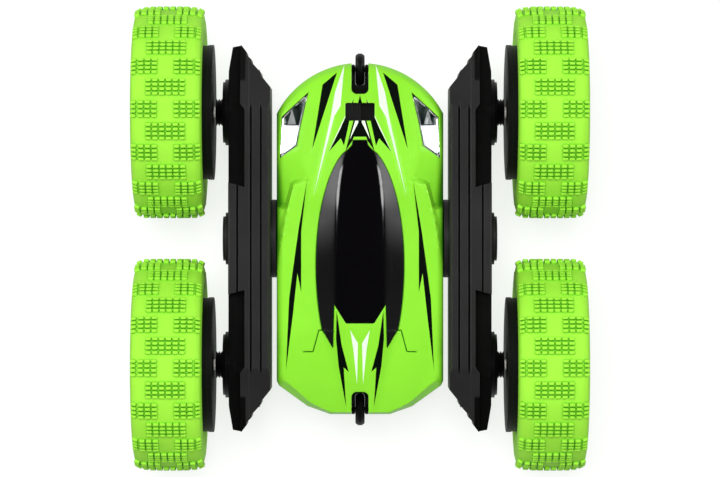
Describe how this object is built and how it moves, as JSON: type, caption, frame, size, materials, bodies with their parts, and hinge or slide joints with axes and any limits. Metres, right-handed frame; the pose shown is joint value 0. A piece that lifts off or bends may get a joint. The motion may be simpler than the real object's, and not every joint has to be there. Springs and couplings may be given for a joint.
{
  "type": "rc stunt car",
  "caption": "Double-sided radio-controlled stunt car: a flat two-faced body between two swinging arms that each carry and drive studded wheels.",
  "frame": {"origin": "middle of the arm pivot axis, which is also the centre of the car's bounding box", "axes": "+X to the car's right along the pivot axis, +Y towards the nose, +Z towards the black canopy side"},
  "size_m": [0.154, 0.1592, 0.0726],
  "materials": {
    "green_shell": "gloss lime green moulded plastic",
    "black_canopy": "high gloss black",
    "silver_canopy": "silver painted plastic",
    "clear_lens": "clear polished plastic",
    "reflector": "bright plated reflector",
    "board_green": "green solder resist",
    "switch_steel": "pressed steel",
    "black_knob": "satin black",
    "grey_plastic": "dark grey",
    "battery_wrap": "blue shrink wrap",
    "black_roller": "satin black",
    "white_nylon": "natural nylon",
    "motor_can": "plated steel can",
    "shaft_steel": "ground steel",
    "pinion_brass": "brass",
    "screw_steel": "plated steel",
    "black_arm": "satin black moulded plastic",
    "black_rim": "satin black moulded plastic",
    "green_tyre": "soft lime green rubber"
  },
  "bodies": {
    "chassis": {"upper_shell": "green_shell", "lower_shell": "green_shell", "upper_canopy": "black_canopy", "lower_canopy": "silver_canopy", "shell_screws": "screw_steel", "headlight_lenses": "clear_lens", "headlight_units": "reflector", "circuit_board": "board_green", "power_switch": "switch_steel", "battery_tray": "grey_plastic", "front_roller_bracket": "black_roller", "rear_roller_bracket": "black_roller", "roller_pins": "screw_steel", "pivot_bushes": "white_nylon", "motors": "motor_can", "gearbox_bases": "white_nylon", "gearbox_covers": "white_nylon"},
    "switch": {"switch_knob": "black_knob"},
    "battery_door": {"battery_cover": "green_shell", "battery_cover_screw": "screw_steel"},
    "battery": {"battery_pack": "battery_wrap"},
    "front_roller_wheel": {"front_roller": "black_roller"},
    "rear_roller_wheel": {"rear_roller": "black_roller"},
    "right_arm": {"right_arm_inner_case": "black_arm", "right_arm_outer_case": "black_arm", "right_arm_screws": "screw_steel"},
    "right_drive": {"right_drive_shaft": "white_nylon", "right_output_gear": "white_nylon"},
    "right_pin": {"right_compound_pin": "shaft_steel"},
    "right_compound": {"right_compound_gear": "white_nylon"},
    "right_armature": {"right_motor_shaft": "shaft_steel"},
    "right_pinion": {"right_motor_pinion": "pinion_brass"},
    "right_front_wheel": {"right_front_tyre": "green_tyre", "right_front_rim": "black_rim", "right_front_axle_gear": "white_nylon", "right_front_wheel_screw": "screw_steel"},
    "right_front_idler": {"right_front_idler_gear": "white_nylon"},
    "right_rear_wheel": {"right_rear_tyre": "green_tyre", "right_rear_rim": "black_rim", "right_rear_axle_gear": "white_nylon", "right_rear_wheel_screw": "screw_steel"},
    "right_rear_idler": {"right_rear_idler_gear": "white_nylon"},
    "left_arm": {"left_arm_inner_case": "black_arm", "left_arm_outer_case": "black_arm", "left_arm_screws": "screw_steel"},
    "left_drive": {"left_drive_shaft": "white_nylon", "left_output_gear": "white_nylon"},
    "left_pin": {"left_compound_pin": "shaft_steel"},
    "left_compound": {"left_compound_gear": "white_nylon"},
    "left_armature": {"left_motor_shaft": "shaft_steel"},
    "left_pinion": {"left_motor_pinion": "pinion_brass"},
    "left_front_wheel": {"left_front_tyre": "green_tyre", "left_front_rim": "black_rim", "left_front_axle_gear": "white_nylon", "left_front_wheel_screw": "screw_steel"},
    "left_front_idler": {"left_front_idler_gear": "white_nylon"},
    "left_rear_wheel": {"left_rear_tyre": "green_tyre", "left_rear_rim": "black_rim", "left_rear_axle_gear": "white_nylon", "left_rear_wheel_screw": "screw_steel"},
    "left_rear_idler": {"left_rear_idler_gear": "white_nylon"}
  },
  "joints": [
    {"name": "switch_slide", "type": "slide", "parent": "chassis", "child": "switch", "axis": [1, 0, 0], "range_m": [0, 0.0042]},
    {"name": "battery_cover_lift", "type": "slide", "parent": "chassis", "child": "battery_door", "axis": [0, 0, -1], "range_m": [0, 0.04]},
    {"name": "battery_lift", "type": "slide", "parent": "chassis", "child": "battery", "axis": [0, 0, -1], "range_m": [0, 0.02]},
    {"name": "front_roller_spin", "type": "hinge", "parent": "chassis", "child": "front_roller_wheel", "pos_m": [0, 0.0579, 0], "axis": [1, 0, 0], "continuous": true},
    {"name": "rear_roller_spin", "type": "hinge", "parent": "chassis", "child": "rear_roller_wheel", "pos_m": [0, -0.0585, 0], "axis": [1, 0, 0], "continuous": true},
    {"name": "right_arm_pivot", "type": "hinge", "parent": "chassis", "child": "right_arm", "pos_m": [0.0267, 0, 0], "axis": [1, 0, 0], "continuous": true},
    {"name": "right_front_wheel_spin", "type": "hinge", "parent": "right_arm", "child": "right_front_wheel", "pos_m": [0.065, 0.0432, 0], "axis": [1, 0, 0], "continuous": true},
    {"name": "right_front_idler_spin", "type": "hinge", "parent": "right_arm", "child": "right_front_idler", "pos_m": [0.0352, 0.0216, 0], "axis": [1, 0, 0], "continuous": true},
    {"name": "right_rear_wheel_spin", "type": "hinge", "parent": "right_arm", "child": "right_rear_wheel", "pos_m": [0.065, -0.0432, 0], "axis": [1, 0, 0], "continuous": true},
    {"name": "right_rear_idler_spin", "type": "hinge", "parent": "right_arm", "child": "right_rear_idler", "pos_m": [0.0352, -0.0216, 0], "axis": [1, 0, 0], "continuous": true},
    {"name": "right_drive_spin", "type": "hinge", "parent": "right_arm", "child": "right_drive", "pos_m": [0.0352, 0, 0], "axis": [1, 0, 0], "continuous": true},
    {"name": "right_pin_spin", "type": "hinge", "parent": "chassis", "child": "right_pin", "pos_m": [0.0192, -0.00887, 0.00616], "axis": [1, 0, 0], "continuous": true},
    {"name": "right_compound_spin", "type": "hinge", "parent": "right_pin", "child": "right_compound", "pos_m": [0.0192, -0.00887, 0.00616], "axis": [1, 0, 0], "continuous": true},
    {"name": "right_armature_spin", "type": "hinge", "parent": "chassis", "child": "right_armature", "pos_m": [0.002, -0.017, 0], "axis": [1, 0, 0], "continuous": true},
    {"name": "right_pinion_spin", "type": "hinge", "parent": "right_armature", "child": "right_pinion", "pos_m": [0.0178, -0.017, 0], "axis": [1, 0, 0], "continuous": true},
    {"name": "left_arm_pivot", "type": "hinge", "parent": "chassis", "child": "left_arm", "pos_m": [-0.0267, 0, 0], "axis": [1, 0, 0], "continuous": true},
    {"name": "left_front_wheel_spin", "type": "hinge", "parent": "left_arm", "child": "left_front_wheel", "pos_m": [-0.065, 0.0432, 0], "axis": [1, 0, 0], "continuous": true},
    {"name": "left_front_idler_spin", "type": "hinge", "parent": "left_arm", "child": "left_front_idler", "pos_m": [-0.0352, 0.0216, 0], "axis": [1, 0, 0], "continuous": true},
    {"name": "left_rear_wheel_spin", "type": "hinge", "parent": "left_arm", "child": "left_rear_wheel", "pos_m": [-0.065, -0.0432, 0], "axis": [1, 0, 0], "continuous": true},
    {"name": "left_rear_idler_spin", "type": "hinge", "parent": "left_arm", "child": "left_rear_idler", "pos_m": [-0.0352, -0.0216, 0], "axis": [1, 0, 0], "continuous": true},
    {"name": "left_drive_spin", "type": "hinge", "parent": "left_arm", "child": "left_drive", "pos_m": [-0.0352, 0, 0], "axis": [1, 0, 0], "continuous": true},
    {"name": "left_pin_spin", "type": "hinge", "parent": "chassis", "child": "left_pin", "pos_m": [-0.0192, 0.00887, 0.00616], "axis": [1, 0, 0], "continuous": true},
    {"name": "left_compound_spin", "type": "hinge", "parent": "left_pin", "child": "left_compound", "pos_m": [-0.0192, 0.00887, 0.00616], "axis": [1, 0, 0], "continuous": true},
    {"name": "left_armature_spin", "type": "hinge", "parent": "chassis", "child": "left_armature", "pos_m": [-0.002, 0.017, 0], "axis": [1, 0, 0], "continuous": true},
    {"name": "left_pinion_spin", "type": "hinge", "parent": "left_armature", "child": "left_pinion", "pos_m": [-0.0178, 0.017, 0], "axis": [1, 0, 0], "continuous": true}
  ],
  "couplings": [
    {"joint": "battery_lift", "follows": "battery_cover_lift", "ratio": 0.5},
    {"joint": "right_rear_wheel_spin", "follows": "right_front_wheel_spin", "ratio": 1},
    {"joint": "right_front_idler_spin", "follows": "right_front_wheel_spin", "ratio": -0.8},
    {"joint": "right_rear_idler_spin", "follows": "right_front_wheel_spin", "ratio": -0.8},
    {"joint": "right_drive_spin", "follows": "right_front_wheel_spin", "ratio": 1},
    {"joint": "right_pin_spin", "follows": "right_arm_pivot", "ratio": -2.6},
    {"joint": "right_compound_spin", "follows": "right_front_wheel_spin", "ratio": -2.6},
    {"joint": "right_armature_spin", "follows": "right_arm_pivot", "ratio": 6.24},
    {"joint": "right_pinion_spin", "follows": "right_front_wheel_spin", "ratio": 6.24},
    {"joint": "left_rear_wheel_spin", "follows": "left_front_wheel_spin", "ratio": 1},
    {"joint": "left_front_idler_spin", "follows": "left_front_wheel_spin", "ratio": -0.8},
    {"joint": "left_rear_idler_spin", "follows": "left_front_wheel_spin", "ratio": -0.8},
    {"joint": "left_drive_spin", "follows": "left_front_wheel_spin", "ratio": 1},
    {"joint": "left_pin_spin", "follows": "left_arm_pivot", "ratio": -2.6},
    {"joint": "left_compound_spin", "follows": "left_front_wheel_spin", "ratio": -2.6},
    {"joint": "left_armature_spin", "follows": "left_arm_pivot", "ratio": 6.24},
    {"joint": "left_pinion_spin", "follows": "left_front_wheel_spin", "ratio": 6.24}
  ]
}
